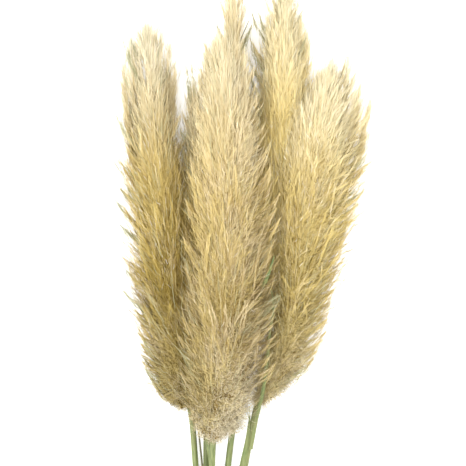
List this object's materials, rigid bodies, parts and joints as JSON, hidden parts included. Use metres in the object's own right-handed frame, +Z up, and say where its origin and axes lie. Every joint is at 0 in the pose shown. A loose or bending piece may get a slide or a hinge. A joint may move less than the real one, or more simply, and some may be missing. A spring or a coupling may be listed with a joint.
{
  "type": "bundle of pampas grass",
  "caption": "Bundle of cut pampas grass with feathery cream and golden plumes on green stalks, tied with twine and lying down.",
  "frame": {"origin": "under the middle of the bundle's box, on the surface that the bundle lies on", "axes": "+Y along the bundle from the cut ends to the plume tips, +X across it to the right as seen from above with the tips away, +Z up off the surface"},
  "size_m": [0.3098, 0.9958, 0.1027],
  "materials": {
    "stalk_green": "smooth green cane with fine lengthwise lines and a faint wax sheen",
    "leaf_green": "matt ribbed grass blade",
    "leaf_dry": "matt dry grass blade",
    "plume_cream": "silky fine hairs, cream with a pinkish beige tint",
    "plume_golden": "silky fine hairs, golden with olive brown shade",
    "plume_straw": "silky fine hairs, yellowish straw",
    "twine": "rough natural plant-fibre twine"
  },
  "bodies": {
    "root": {"stem_centre_front": "stalk_green", "stem_left": "stalk_green", "stem_right": "stalk_green", "stem_right_back": "stalk_green", "stem_left_back": "stalk_green", "stem_centre_back": "stalk_green", "plume_centre_front": "plume_cream", "plume_left": "plume_golden", "plume_right": "plume_straw", "plume_right_back": "plume_straw", "plume_left_back": "plume_golden", "plume_centre_back": "plume_cream", "leaf_left": "leaf_dry", "leaf_back": "leaf_dry", "leaf_right_long": "leaf_green", "leaf_right_short": "leaf_green", "sheath_right": "leaf_green", "twine_tie": "twine"}
  },
  "joints": []
}
